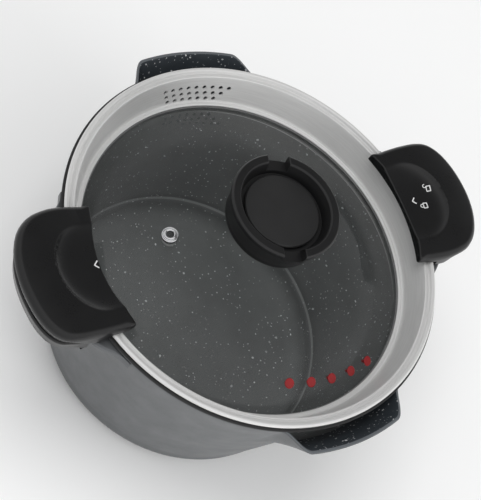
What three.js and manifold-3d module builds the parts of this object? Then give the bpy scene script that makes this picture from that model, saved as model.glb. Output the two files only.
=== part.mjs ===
// Straining pasta pot, 24 cm, with a twist-on glass strainer lid.
// Units are millimetres. +Z is up, the pot stands on Z = 0, its axis is the Z axis.
// +X points at one side handle, +Y at the pouring spout below the fine holes.
import * as THREE from 'three';
import { mergeVertices } from 'three/addons/utils/BufferGeometryUtils.js';
import Module from 'manifold-3d';

const wasm = await Module();
wasm.setup();

// ---------------------------------------------------------------- driving dimensions
const SEG = 48;              // facets round the big rings
const GAP = 0.3;             // clearance between pieces that touch

const POT_RIM_Z = 133.5;     // top of the pot wall
const POT_RIM_R = 121.0;     // outside radius at the rim
const POT_FOOT_R = 93.5;     // outside radius where the wall meets the bottom corner
const POT_CORNER = 16.0;     // outside radius of the bottom corner
const POT_WALL = 2.8;        // wall thickness
const POT_FLOOR_Z = 4.6;     // inside floor height
const SPOUT_REACH = 14.4;    // how far each spout stands out at the rim
const SPOUT_DEPTH = 44.0;    // how far down the wall a spout begins
const SPOUT_AZ = 86.0;        // direction of the spouts, +/- degrees from +X
const SPOUT_HALF_OUT = 13.6; // half angle of the spout's front, degrees
const SPOUT_HALF_IN = 21.5;  // half angle where the spout leaves the wall, degrees

const PLATE_R = 76.0;        // steel plate in the bottom
const PLATE_T = 1.2;

const LID_Z = 138.0;         // top of the lid's outer bead
const BEAD_R = 120.0;        // outside radius of that bead
const LIP_R = 104.4;         // inside radius of the crimped inner lip
const GLASS_R = 106.4;       // glass disc
const GLASS_T = 4.0;
const GLASS_EDGE_Z = LID_Z - 22.0; // top of the glass at its flat edge
const GLASS_TOP_Z = LID_Z + 7.0;   // top of the dome
const DOME_R = 200.4;        // radius of the dome

const HOLE_R = 1.15;         // fine drain holes
const HOLE_STEP = 2.93;      // degrees between two fine holes
const HOLE_ROWS = [          // [count, radius, height, azimuth of the first hole]
  [9, 110.7, LID_Z - 9.2, 97.0],
  [8, 109.3, LID_Z - 13.4, 96.2],
  [7, 108.0, LID_Z - 17.4, 95.3],
];

const PLUG_R = 3.1;          // drain holes in the glass, each with its red plug
const PLUGS = [              // [radius from the axis, azimuth]
  [88.2, -98.6], [89.8, -89.0], [92.1, -79.6], [94.7, -70.1], [97.7, -61.0],
];

const VENT_AZ = 166.9;       // steam vent on the glass
const VENT_RING_R = 57.0;
const VENT_FLANGE_R = 5.0;
const VENT_BORE_R = 2.2;

const KNOB_AZ = 73.9;        // direction of the two notches of the knob, degrees
const KNOB_TOP_Z = LID_Z + 40.0;
const KNOB_R = 34.2;         // outside radius of the raised ring
const KNOB_RING_IN = 28.2;
const KNOB_SKIRT_R = 30.3;   // bottom of the flared skirt
const KNOB_SKIRT_Z = LID_Z + 19.5;
const KNOB_FLOOR_Z = LID_Z + 33.6;
const KNOB_DISC_R = 23.6;
const KNOB_NOTCH = 13.6;     // width of each notch
const STEM_R = 15.5;
const SCREW_BORE = 2.7;

const GRIP_IN_R = 107.0;     // inner edge of each lid grip
const GRIP_LOW_Z = LID_Z - 4.6;
const GRIP_TOP_Z = LID_Z + 8.5;

const POTGRIP_LOW_Z = LID_Z - 15.6;
const POTGRIP_TOP_Z = LID_Z - 5.3;

// ---------------------------------------------------------------- helpers
const rad = (d) => (d * Math.PI) / 180;

function strip(geo) {
  const g = geo.clone();
  for (const k of Object.keys(g.attributes)) if (k !== 'position') g.deleteAttribute(k);
  const m = mergeVertices(g, 1e-4);
  // drop triangles that collapsed on the axis
  const idx = m.index.array;
  const keep = [];
  for (let i = 0; i < idx.length; i += 3) {
    const a = idx[i], b = idx[i + 1], c = idx[i + 2];
    if (a !== b && b !== c && a !== c) keep.push(a, b, c);
  }
  m.setIndex(keep);
  return m;
}
function solid(geo) {
  const m = strip(geo);
  const s = new wasm.Manifold(new wasm.Mesh({
    numProp: 3,
    vertProperties: new Float32Array(m.attributes.position.array),
    triVerts: new Uint32Array(m.index.array),
  }));
  if (s.volume() < 0) throw new Error('inside out');
  return s;
}
function geometry(s) {
  const m = s.getMesh();
  const g = new THREE.BufferGeometry();
  g.setAttribute('position', new THREE.BufferAttribute(new Float32Array(m.vertProperties), 3));
  g.setIndex(new THREE.BufferAttribute(new Uint32Array(m.triVerts), 1));
  g.computeVertexNormals();
  return g;
}
// solid of revolution about Z: points are [radius, z], listed anticlockwise in the r-z plane
function lathe(points, seg = SEG) {
  const pts = points.map(([r, z]) => new THREE.Vector2(r, z));
  const onAxis = pts[0].x < 1e-9 && pts[pts.length - 1].x < 1e-9;
  if (!onAxis) pts.push(pts[0].clone());
  const g = new THREE.LatheGeometry(pts, seg);
  g.rotateX(Math.PI / 2);
  return g;
}
function lathed(points, seg = SEG) {
  const m = strip(lathe(points, seg));
  // turn the faces outward if the profile was listed the other way round
  const p = m.attributes.position, ix = m.index.array;
  let v = 0;
  const A = new THREE.Vector3(), B = new THREE.Vector3(), C = new THREE.Vector3();
  for (let i = 0; i < ix.length; i += 3) {
    A.fromBufferAttribute(p, ix[i]); B.fromBufferAttribute(p, ix[i + 1]); C.fromBufferAttribute(p, ix[i + 2]);
    v += A.dot(B.cross(C));
  }
  if (v < 0) for (let i = 0; i < ix.length; i += 3) { const t = ix[i]; ix[i] = ix[i + 1]; ix[i + 1] = t; }
  return m;
}
function extruded(points, z0, z1, bevel = 0, steps = 2) {
  const shape = new THREE.Shape(points.map(([x, y]) => new THREE.Vector2(x, y)));
  const g = new THREE.ExtrudeGeometry(shape, bevel > 0
    ? { depth: z1 - z0 - 2 * bevel, bevelEnabled: true, bevelThickness: bevel, bevelSize: bevel, bevelOffset: -bevel, bevelSegments: steps, curveSegments: 12 }
    : { depth: z1 - z0, bevelEnabled: false, curveSegments: 12 });
  g.translate(0, 0, z0 + bevel);
  return g;
}
function drum(r, z0, z1, seg = 24, rTop = r) {
  const g = new THREE.CylinderGeometry(rTop, r, z1 - z0, seg);
  g.rotateX(Math.PI / 2);
  g.translate(0, 0, (z0 + z1) / 2);
  return g;
}
function at(geo, x, y) { geo.translate(x, y, 0); return geo; }
function turn(geo, deg) { geo.rotateZ(rad(deg)); return geo; }
const domeZ = (r) => GLASS_TOP_Z - (DOME_R - Math.sqrt(DOME_R * DOME_R - r * r));

const mats = {
  enamel: new THREE.MeshStandardMaterial({ color: 0x6f7375, roughness: 0.45, metalness: 0.5 }),
  plate: new THREE.MeshStandardMaterial({ color: 0xb4b6b8, roughness: 0.35, metalness: 0.9 }),
  steel: new THREE.MeshStandardMaterial({ color: 0xb9bab8, roughness: 0.33, metalness: 0.95 }),
  chrome: new THREE.MeshStandardMaterial({ color: 0xd8d9da, roughness: 0.12, metalness: 1.0 }),
  glass: new THREE.MeshStandardMaterial({ color: 0xdfe8e6, roughness: 0.04, metalness: 0.0, transparent: true, opacity: 0.3 }),
  black: new THREE.MeshStandardMaterial({ color: 0x1d1e1f, roughness: 0.5, metalness: 0.0 }),
  seal: new THREE.MeshStandardMaterial({ color: 0x17181a, roughness: 0.7, metalness: 0.0 }),
  red: new THREE.MeshStandardMaterial({ color: 0xa01a22, roughness: 0.55, metalness: 0.0 }),
};

const pot = new THREE.Group();
function add(name, geo, material) {
  const m = new THREE.Mesh(geo, material);
  m.name = name;
  pot.add(m);
  return m;
}

// ---------------------------------------------------------------- pot
const wallR = (z) => POT_FOOT_R + (POT_RIM_R - POT_FOOT_R) * Math.max(0, z - POT_CORNER) / (POT_RIM_Z - POT_CORNER);
function spoutPush(x, y, z) {
  // radial push of the wall at a spout, eased in from below and from both sides
  const low = POT_RIM_Z - SPOUT_DEPTH;
  if (z <= low) return 0;
  const a = Math.abs(Math.abs(Math.atan2(y, x) * 180 / Math.PI) - SPOUT_AZ);
  if (a >= SPOUT_HALF_IN) return 0;
  const t = Math.min(1, (SPOUT_HALF_IN - a) / (SPOUT_HALF_IN - SPOUT_HALF_OUT));
  const s = t * t * (3 - 2 * t);
  const k = (z - low) / SPOUT_DEPTH;
  return SPOUT_REACH * s * Math.pow(k, 1.35);
}
function potBody() {
  const outer = [];
  const inner = [];
  const c = POT_CORNER, n = 3;
  // outside: recess for the plate, flat foot, corner, wall in steps up to the rim
  outer.push([0, 1.9], [PLATE_R + GAP, 1.9], [PLATE_R + GAP, 0.4]);
  for (let i = 0; i <= n; i++) {
    const a = (i / n) * Math.PI / 2;
    outer.push([POT_FOOT_R - c + c * Math.sin(a), 0.4 + c - c * Math.cos(a)]);
  }
  for (const z of [89.5, 104, 119, POT_RIM_Z - 1.0]) outer.push([wallR(z), z]);
  outer.push([POT_RIM_R - 0.6, POT_RIM_Z]);
  const ci = 12.5;
  inner.push([POT_RIM_R - POT_WALL + 0.5, POT_RIM_Z]);
  for (const z of [POT_RIM_Z - 1.0, 119, 104, 89.5]) inner.push([wallR(z) - POT_WALL, z]);
  for (let i = n; i >= 0; i--) {
    const a = (i / n) * Math.PI / 2;
    inner.push([POT_FOOT_R - POT_WALL - ci + ci * Math.sin(a), POT_FLOOR_Z + ci - ci * Math.cos(a)]);
  }
  inner.push([0, POT_FLOOR_Z]);
  const g = lathed([...outer, ...inner], 72);
  const p = g.attributes.position;
  for (let i = 0; i < p.count; i++) {
    const x = p.getX(i), y = p.getY(i), z = p.getZ(i), r = Math.hypot(x, y);
    if (r < 40) continue;
    const d = spoutPush(x, y, z);
    if (d > 0) p.setXY(i, x * (r + d) / r, y * (r + d) / r);
  }
  g.computeVertexNormals();
  return g;
}
add('pot_body', potBody(), mats.enamel);
add('base_plate', lathed([[0, 0], [PLATE_R - 0.5, 0], [PLATE_R, 0.4], [PLATE_R, 1.6], [0, 1.6]]), mats.plate);

// outline of a side grip in plan, radial x and tangential y, for the +X side; one end is squarer than the other
const GRIP_SIDE_POS = [[112, 38.4], [124, 39.0], [136, 38.8], [144, 36.6], [150.2, 30.5], [154.6, 20.5], [156.9, 7.0]];
const GRIP_SIDE_NEG = [[156.8, -7.0], [154.0, -19.5], [148.2, -30.5], [140.0, -37.6], [130.6, -40.6], [121.0, -41.4], [110.5, -40.6]];
function gripOutline(inR, grow = 0, n = 9) {
  const a0 = Math.asin(37.2 / inR), a1 = -Math.asin(38.6 / inR);
  const pts = [];
  for (let i = 0; i <= n; i++) {
    const a = a1 + ((a0 - a1) * i) / n;
    pts.push([inR * Math.cos(a), inR * Math.sin(a)]);
  }
  const put = ([x, y]) => {
    if (x < inR * 0.95 + 6) return;
    const d = Math.hypot(x - 128, y);
    pts.push([x + grow * (x - 128) / d, y + grow * y / d]);
  };
  GRIP_SIDE_POS.forEach(put);
  GRIP_SIDE_NEG.forEach(put);
  // the arc runs from -y to +y and the sides from +y back to -y, which is clockwise
  return pts.reverse();
}

// crescent lug welded under the rim, with a flat tongue that carries the pot handle
const potSkin = solid(lathed([[0, 60], [wallR(60) + GAP, 60], [POT_RIM_R + GAP, POT_RIM_Z - 1.0], [POT_RIM_R + GAP, POT_RIM_Z + 9], [0, POT_RIM_Z + 9]], 72));
function lug() {
  const pts = [];
  const n = 18, half = 27;
  for (let i = 0; i <= n; i++) {
    const a = rad(-half + (2 * half * i) / n);
    const k = Math.min(1, Math.max(0, (25 - Math.abs(a) * 180 / Math.PI) / 9));
    const r = 120.9 + 8.4 * k * k * (3 - 2 * k);
    pts.push([r * Math.cos(a), r * Math.sin(a)]);
  }
  for (let i = n; i >= 0; i--) {
    const a = rad(-half + (2 * half * i) / n);
    pts.push([112 * Math.cos(a), 112 * Math.sin(a)]);
  }
  const body = solid(extruded(pts, LID_Z - 10.4, LID_Z - 5.6));
  const tongue = solid(extruded([[120, -11], [145, -11], [148, -8], [148, 8], [145, 11], [120, 11]], LID_Z - 10.0, LID_Z - 7.4));
  return body.add(tongue).subtract(potSkin).subtract(solid(at(drum(2.3, LID_Z - 30, LID_Z, 12), 138, 0)));
}
function potHandle() {
  const outline = gripOutline(127.0, 0.6, 8);
  const body = solid(extruded(outline, POTGRIP_LOW_Z, POTGRIP_TOP_Z, 1.8, 2));
  // clearance over the lug and its tongue
  const ring = solid(lathed([[0, 100], [129.9, 100], [129.9, 150], [0, 150]]));
  const slot = solid(extruded([[120, -11.4], [145.2, -11.4], [148.4, -8.2], [148.4, 8.2], [145.2, 11.4], [120, 11.4]], LID_Z - 10.3, LID_Z - 7.1));
  const bore = solid(at(drum(2.6, LID_Z - 30, LID_Z - 6.4, 12), 138, 0));
  const head = solid(at(drum(4.9, LID_Z - 30, LID_Z - 13.2, 16), 138, 0));
  // finger hollow along the underside
  const hollow = new THREE.SphereGeometry(1, 24, 14);
  hollow.scale(6, 27, 4.0);
  hollow.translate(148.5, 0, POTGRIP_LOW_Z - 1.6);
  return body.subtract(ring).subtract(slot).subtract(bore).subtract(head).subtract(solid(hollow));
}
function potScrew() {
  return solid(lathed([[0, LID_Z - 15.3], [2.0, LID_Z - 15.3], [4.2, LID_Z - 15.1], [4.6, LID_Z - 14.5], [4.6, LID_Z - 13.5], [2.0, LID_Z - 13.5], [2.0, LID_Z - 6.8], [0, LID_Z - 6.8]], 16)).translate([138, 0, 0]);
}
const lugS = lug(), potHandleS = potHandle(), potScrewS = potScrew();
add('handle_lug_right', geometry(lugS), mats.enamel);
add('handle_lug_left', turn(geometry(lugS), 180), mats.enamel);
add('pot_handle_right', geometry(potHandleS), mats.black);
add('pot_handle_left', turn(geometry(potHandleS), 180), mats.black);
add('pot_handle_screw_right', geometry(potScrewS), mats.steel);
add('pot_handle_screw_left', turn(geometry(potScrewS), 180), mats.steel);

// ---------------------------------------------------------------- lid: seal, band, glass
const L = LID_Z;
add('lid_seal', lathed([[117.2, L - 4.2], [121.4, L - 4.2], [121.4, L - 3.3], [117.2, L - 3.3]]), mats.seal);

function band() {
  const profile = [
    // outer bead
    [116.9, L - 3.0], [119.4, L - 3.0], [BEAD_R, L - 1.5], [119.2, L], [117.8, L],
    // groove, crease, sloped wall
    [116.8, L - 2.1], [115.2, L - 2.1], [114.2, L - 1.6], [113.4, L - 2.4], [107.7, L - 19.0],
    // crimped lip over the glass
    [107.0, L - 19.6], [105.2, L - 19.4], [LIP_R, L - 20.0], [LIP_R, L - 20.8], [107.5, L - 20.8],
    // outer wall and lower lip of the channel
    [107.5, L - 27.2], [LIP_R + 0.6, L - 27.2], [LIP_R + 0.6, L - 28.0], [108.4, L - 28.0], [108.4, L - 20.2],
    // back up the outside of the wall
    [113.6, L - 4.6], [114.6, L - 3.0],
  ];
  let s = solid(lathed(profile));
  const cuts = [];
  for (const [n, r, z, first] of HOLE_ROWS) {
    for (let i = 0; i < n; i++) {
      const g = new THREE.CylinderGeometry(HOLE_R, HOLE_R, 6, 6);
      // cylinder axis along the normal of the sloped wall
      g.rotateZ(-Math.PI / 2);                 // along X
      g.rotateY(rad(-19.0));                   // tipped to the wall's normal
      g.translate(r, 0, z);
      cuts.push(solid(turn(g, first - HOLE_STEP * i)));
    }
  }
  for (const c of cuts) s = s.subtract(c);
  return s;
}
add('lid_band', geometry(band()), mats.steel);

// silicone channel round the edge of the glass
add('glass_gasket', lathed([
  [103.7, L - 21.7], [106.7, L - 21.7], [106.7, L - 26.3], [104.4, L - 26.3], [104.4, L - 26.9],
  [107.2, L - 26.9], [107.2, L - 21.1], [103.7, L - 21.1],
]), mats.seal);

function glass() {
  const top = [], low = [];
  for (const r of [101.5, 84, 60, 32]) top.push([r, domeZ(r)]);
  for (const r of [32, 60, 84, 101.0]) low.push([r, domeZ(r) - GLASS_T]);
  const profile = [[0, GLASS_TOP_Z - GLASS_T], ...low, [103.2, GLASS_EDGE_Z - GLASS_T], [GLASS_R, GLASS_EDGE_Z - GLASS_T], [GLASS_R, GLASS_EDGE_Z], [103.4, GLASS_EDGE_Z], ...top, [0, GLASS_TOP_Z]];
  let s = solid(lathed(profile));
  s = s.subtract(solid(drum(4.2, L - 20, L + 20, 20)));
  s = s.subtract(solid(onDome([[0, -9], [3.3, -9], [3.3, 5], [0, 5]], 16, VENT_RING_R, VENT_AZ)));
  for (const [r, az] of PLUGS) s = s.subtract(solid(onDome([[0, -9], [1.5, -9], [1.5, 5], [0, 5]], 12, r, az)));
  return s;
}
add('lid_glass', geometry(glass()), mats.glass);

// a turned piece that sits on the dome: profile heights are measured from the dome surface along its normal
function onDome(profile, seg, ringR, az) {
  const g = lathed(profile, seg);
  const tilt = Math.asin(ringR / DOME_R);
  g.rotateY(tilt);
  g.translate(ringR, 0, domeZ(ringR));
  g.rotateZ(rad(az));
  g.computeVertexNormals();
  return g;
}
PLUGS.forEach(([ringR, az], i) => {
  // flat head on the glass, short stem that fills the drain hole
  add(`drain_plug_${i + 1}`, onDome([
    [0, -3.4], [1.1, -3.4], [1.1, 0.55], [PLUG_R, 0.55], [PLUG_R, 0.9], [PLUG_R - 0.5, 1.2], [0, 1.2],
  ], 16, ringR, az), mats.red);
});

// steam vent: chrome eyelet, silicone grommet under its flange, swaged ring below the glass
add('vent_eyelet', onDome([
  [VENT_BORE_R, -5.6], [2.8, -5.6], [2.8, 1.5], [VENT_FLANGE_R, 1.5], [VENT_FLANGE_R, 2.1], [4.3, 2.9], [2.8, 3.0], [VENT_BORE_R, 2.4],
], 20, VENT_RING_R, VENT_AZ), mats.chrome);
add('vent_grommet', onDome([[3.1, 0.4], [4.9, 0.4], [4.9, 1.2], [3.1, 1.2]], 20, VENT_RING_R, VENT_AZ), mats.seal);
add('vent_back_ring', onDome([[3.1, -5.2], [4.2, -5.2], [4.2, -4.5], [3.1, -4.5]], 20, VENT_RING_R, VENT_AZ), mats.plate);

// ---------------------------------------------------------------- knob
function knobBody() {
  const KS = 40;
  // flared skirt, floor and raised ring in one moulding, hollow below
  const profile = [
    [SCREW_BORE + 0.3, KNOB_FLOOR_Z - 5.0], [KNOB_SKIRT_R - 5.0, KNOB_FLOOR_Z - 5.0], [KNOB_SKIRT_R - 3.0, KNOB_SKIRT_Z],
    [KNOB_SKIRT_R, KNOB_SKIRT_Z], [KNOB_R - 1.4, KNOB_FLOOR_Z - 2.0], [KNOB_R - 0.2, KNOB_TOP_Z - 2.2], [KNOB_R, KNOB_TOP_Z - 0.9], [KNOB_R - 0.9, KNOB_TOP_Z],
    [KNOB_RING_IN + 0.6, KNOB_TOP_Z - 0.5], [KNOB_RING_IN, KNOB_TOP_Z - 1.4], [KNOB_RING_IN - 1.8, KNOB_FLOOR_Z], [KNOB_RING_IN - 2.0, KNOB_FLOOR_Z - 0.6],
    [KNOB_RING_IN - 2.6, KNOB_FLOOR_Z - 2.6], [SCREW_BORE + 0.3, KNOB_FLOOR_Z - 2.6],
  ];
  let s = solid(lathed(profile, KS));
  const h = KNOB_NOTCH / 2;
  const notch = turn(extruded([[22, -h], [40, -h], [40, h], [22, h]], KNOB_FLOOR_Z, KNOB_TOP_Z + 4), KNOB_AZ);
  const notch2 = turn(extruded([[22, -h], [40, -h], [40, h], [22, h]], KNOB_FLOOR_Z, KNOB_TOP_Z + 4), KNOB_AZ + 180);
  s = s.subtract(solid(notch)).subtract(solid(notch2));
  return s;
}
add('knob_body', geometry(knobBody()), mats.black);
add('knob_disc', lathed([
  [0, KNOB_FLOOR_Z - 1.9], [KNOB_DISC_R - 0.4, KNOB_FLOOR_Z - 1.9], [KNOB_DISC_R, KNOB_FLOOR_Z - 0.7], [KNOB_DISC_R - 0.7, KNOB_FLOOR_Z + 0.1], [0, KNOB_FLOOR_Z + 0.3],
], 40), mats.black);
add('knob_stem', lathed([
  [SCREW_BORE + 0.3, GLASS_TOP_Z + 1.2], [STEM_R + 2.2, GLASS_TOP_Z + 1.2], [STEM_R + 2.2, GLASS_TOP_Z + 3.4], [STEM_R, GLASS_TOP_Z + 6.0], [STEM_R - 1.0, KNOB_FLOOR_Z - 9], [STEM_R - 1.0, KNOB_FLOOR_Z - 5.3], [SCREW_BORE + 0.3, KNOB_FLOOR_Z - 5.3],
], 28), mats.black);
add('knob_gasket', lathed([
  [SCREW_BORE + 0.3, GLASS_TOP_Z + 0.3], [STEM_R + 1.8, GLASS_TOP_Z + 0.3], [STEM_R + 1.8, GLASS_TOP_Z + 0.9], [SCREW_BORE + 0.3, GLASS_TOP_Z + 0.9],
], 28), mats.seal);
add('knob_washer', lathed([
  [SCREW_BORE + 0.3, GLASS_TOP_Z - GLASS_T - 2.2], [9.5, GLASS_TOP_Z - GLASS_T - 2.2], [9.5, GLASS_TOP_Z - GLASS_T - 1.2], [SCREW_BORE + 0.3, GLASS_TOP_Z - GLASS_T - 1.2],
], 24), mats.plate);
add('knob_screw', lathed([
  [0, GLASS_TOP_Z - GLASS_T - 5.2], [3.6, GLASS_TOP_Z - GLASS_T - 5.0], [4.6, GLASS_TOP_Z - GLASS_T - 3.8], [4.6, GLASS_TOP_Z - GLASS_T - 2.5], [SCREW_BORE, GLASS_TOP_Z - GLASS_T - 2.5],
  [SCREW_BORE, KNOB_FLOOR_Z - 3.0], [0, KNOB_FLOOR_Z - 3.0],
], 16), mats.steel);

// ---------------------------------------------------------------- lid grips
function gripCover() {
  const outline = gripOutline(GRIP_IN_R, 0, 10);
  let s = solid(extruded(outline, GRIP_LOW_Z, GRIP_TOP_Z, 2.2, 3));
  // crown: the top falls away towards the outer end and the two ends
  const crown = new THREE.SphereGeometry(1, 40, 24);
  crown.scale(60, 88, 26);
  crown.translate(117, 0, GRIP_TOP_Z - 25.6);
  s = s.intersect(solid(crown));
  // room for the bead and for the bracket
  const under = solid(lathed([[0, 100], [122.0, 100], [122.0, L + 0.5], [0, L + 0.5]]));
  s = s.subtract(under);
  s = s.subtract(solid(extruded([[111, -26], [144.6, -24], [148.6, -16], [148.6, 16], [144.6, 24], [111, 26]], L - 10, L + 2.6)));
  // thumb rest, a dish open towards the knob side and bounded by a ridge
  const dish = new THREE.SphereGeometry(1, 36, 20);
  dish.scale(32, 31.5, 7.5);
  dish.translate(104.0, -0.5, GRIP_TOP_Z + 2.6);
  s = s.subtract(solid(dish));
  // two blind bores for the screws
  for (const y of [-17, 17]) s = s.subtract(solid(at(drum(1.7, L, L + 4.4, 10), 138, y)));
  return s;
}
function gripBracket() {
  const plan = [];
  const a0 = rad(11.5);
  for (let i = 0; i <= 6; i++) { const a = a0 - (2 * a0 * i) / 6; plan.push([114.2 * Math.cos(a), 114.2 * Math.sin(a)]); }
  plan.push([143.8, -22.5], [147.8, -15], [147.8, 15], [143.8, 22.5]);
  let s = solid(extruded(plan.reverse(), L + 0.8, L + 2.2));
  for (const y of [-17, 17]) s = s.subtract(solid(at(drum(1.9, L - 4, L + 8, 12), 138, y)));
  return s;
}
function gripBase() {
  // lower cover plate of the grip, held by the same two screws
  const plan = [];
  const a0 = rad(10.6);
  for (let i = 0; i <= 6; i++) { const a = a0 - (2 * a0 * i) / 6; plan.push([122.6 * Math.cos(a), 122.6 * Math.sin(a)]); }
  plan.push([143.4, -22.5], [147.4, -15], [147.4, 15], [143.4, 22.5]);
  let s = solid(extruded(plan.reverse(), L - 4.3, L + 0.4));
  for (const y of [-17, 17]) {
    s = s.subtract(solid(at(drum(1.9, L - 8, L + 8, 12), 138, y)));
    s = s.subtract(solid(at(drum(3.9, L - 8, L - 1.6, 16), 138, y)));
  }
  return s;
}
function gripScrew(y) {
  return solid(lathed([[0, L - 4.0], [2.2, L - 4.0], [3.5, L - 3.4], [3.5, L - 1.9], [1.4, L - 1.9], [1.4, L + 4.0], [0, L + 4.0]], 12)).translate([138, y, 0]);
}
const coverS = gripCover(), bracketS = gripBracket(), gripBaseS = gripBase();
for (const [side, deg] of [['right', 0], ['left', 180]]) {
  add(`lid_grip_${side}`, turn(geometry(coverS), deg), mats.black);
  add(`lid_grip_bracket_${side}`, turn(geometry(bracketS), deg), mats.plate);
  add(`lid_grip_base_${side}`, turn(geometry(gripBaseS), deg), mats.black);
  add(`lid_grip_screw_${side}_1`, turn(geometry(gripScrew(-17)), deg), mats.steel);
  add(`lid_grip_screw_${side}_2`, turn(geometry(gripScrew(17)), deg), mats.steel);
}

export default pot;
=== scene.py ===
import bpy, math
import numpy as np
from mathutils import Vector, Matrix


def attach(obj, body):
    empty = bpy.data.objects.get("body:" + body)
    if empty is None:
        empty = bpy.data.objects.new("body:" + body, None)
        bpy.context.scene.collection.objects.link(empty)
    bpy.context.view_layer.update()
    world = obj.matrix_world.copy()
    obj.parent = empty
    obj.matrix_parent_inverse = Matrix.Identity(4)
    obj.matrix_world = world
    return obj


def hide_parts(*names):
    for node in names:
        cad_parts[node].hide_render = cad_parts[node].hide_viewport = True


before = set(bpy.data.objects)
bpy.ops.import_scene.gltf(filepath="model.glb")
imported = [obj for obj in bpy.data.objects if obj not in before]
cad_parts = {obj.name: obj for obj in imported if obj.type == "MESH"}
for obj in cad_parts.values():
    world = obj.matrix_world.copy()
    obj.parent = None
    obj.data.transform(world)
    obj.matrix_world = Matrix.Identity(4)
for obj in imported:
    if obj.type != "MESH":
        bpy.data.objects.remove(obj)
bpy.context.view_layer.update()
MM = 0.001
L = 138.0

# ------------------------------------------------------------------ node materials
class Mat:
    def __init__(self, name):
        self.m = bpy.data.materials.new(name)
        self.m.use_nodes = True
        self.t = self.m.node_tree
        self.t.nodes.clear()
        self.out = self.t.nodes.new("ShaderNodeOutputMaterial")
        self.co = self.t.nodes.new("ShaderNodeTexCoord").outputs["Object"]

    def n(self, kind, **kw):
        x = self.t.nodes.new("ShaderNode" + kind)
        for k, v in kw.items():
            setattr(x, k, v)
        return x

    def put(self, sock, v):
        if isinstance(v, bpy.types.NodeSocket):
            self.t.links.new(v, sock)
        else:
            sock.default_value = v

    def math(self, op, a, b=0.0, c=0.0, clamp=False):
        x = self.n("Math", operation=op, use_clamp=clamp)
        for i, v in enumerate((a, b, c)):
            self.put(x.inputs[i], v)
        return x.outputs[0]

    def noise(self, scale, vec=None, detail=3.0, rough=0.55, dist=0.0):
        x = self.n("TexNoise")
        self.put(x.inputs["Vector"], vec or self.co)
        x.inputs["Scale"].default_value = scale
        x.inputs["Detail"].default_value = detail
        x.inputs["Roughness"].default_value = rough
        x.inputs["Distortion"].default_value = dist
        return x.outputs[0]

    def cells(self, scale, vec=None, feature="F1"):
        x = self.n("TexVoronoi", feature=feature)
        self.put(x.inputs["Vector"], vec or self.co)
        x.inputs["Scale"].default_value = scale
        return x.outputs["Distance"], x.outputs["Color"]

    def ramp(self, fac, *stops, mode="LINEAR"):
        x = self.n("ValToRGB")
        x.color_ramp.interpolation = mode
        e = x.color_ramp.elements
        while len(e) < len(stops):
            e.new(0.5)
        for i, (p, c) in enumerate(stops):
            e[i].position = p
            e[i].color = (c, c, c, 1) if not isinstance(c, tuple) else (*c, 1)
        self.put(x.inputs[0], fac)
        return x.outputs[0]

    def mix(self, fac, a, b):
        x = self.n("Mix", data_type="RGBA")
        self.put(x.inputs[0], fac)
        for s, v in ((x.inputs[6], a), (x.inputs[7], b)):
            self.put(s, (*v, 1) if isinstance(v, tuple) else v)
        return x.outputs[2]

    def span(self, v, a0, a1, b0, b1):
        x = self.n("MapRange")
        for i, s in enumerate((v, a0, a1, b0, b1)):
            self.put(x.inputs[i], s)
        return x.outputs[0]

    def bump(self, height, strength, dist, normal=None):
        x = self.n("Bump")
        x.inputs["Strength"].default_value = strength
        x.inputs["Distance"].default_value = dist
        self.put(x.inputs["Height"], height)
        if normal is not None:
            self.put(x.inputs["Normal"], normal)
        return x.outputs[0]

    def polar(self, k_r, k_a, k_z):
        """coordinates that run along circles about Z: for turned and brushed metal"""
        s = self.n("SeparateXYZ")
        self.put(s.inputs[0], self.co)
        x, y, z = s.outputs
        r = self.math("SQRT", self.math("ADD", self.math("MULTIPLY", x, x), self.math("MULTIPLY", y, y)))
        a = self.math("ARCTAN2", y, x)
        c = self.n("CombineXYZ")
        self.put(c.inputs[0], self.math("MULTIPLY", r, k_r))
        self.put(c.inputs[1], self.math("MULTIPLY", a, k_a))
        self.put(c.inputs[2], self.math("MULTIPLY", z, k_z))
        return c.outputs[0]

    def bsdf(self, color, rough, metal=0.0, normal=None, spec=0.5, coat=0.0, coat_rough=0.1, aniso=0.0, sheen=0.0):
        b = self.n("BsdfPrincipled")
        self.put(b.inputs["Base Color"], (*color, 1) if isinstance(color, tuple) else color)
        self.put(b.inputs["Roughness"], rough)
        self.put(b.inputs["Metallic"], metal)
        b.inputs["Specular IOR Level"].default_value = spec
        b.inputs["Coat Weight"].default_value = coat
        b.inputs["Coat Roughness"].default_value = coat_rough
        b.inputs["Anisotropic"].default_value = aniso
        b.inputs["Sheen Weight"].default_value = sheen
        if normal is not None:
            self.put(b.inputs["Normal"], normal)
        return b.outputs[0]

    def done(self, shader):
        self.t.links.new(shader, self.out.inputs["Surface"])
        return self.m


def satin_paint():
    m = Mat("satin_grey_paint")
    broad = m.noise(28, detail=4)
    flake = m.noise(4200, detail=1)
    fine = m.noise(900, detail=2)
    tone = m.mix(m.span(broad, 0.3, 0.7, 0, 1), (0.098, 0.103, 0.108), (0.118, 0.123, 0.128))
    tone = m.mix(m.ramp(flake, (0.58, 0.0), (0.72, 0.5)), tone, (0.24, 0.25, 0.26))
    rough = m.span(m.noise(60, detail=3), 0.3, 0.7, 0.36, 0.46)
    nrm = m.bump(fine, 0.10, 0.00012)
    return m.done(m.bsdf(tone, rough, metal=0.45, normal=nrm, spec=0.5))


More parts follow.
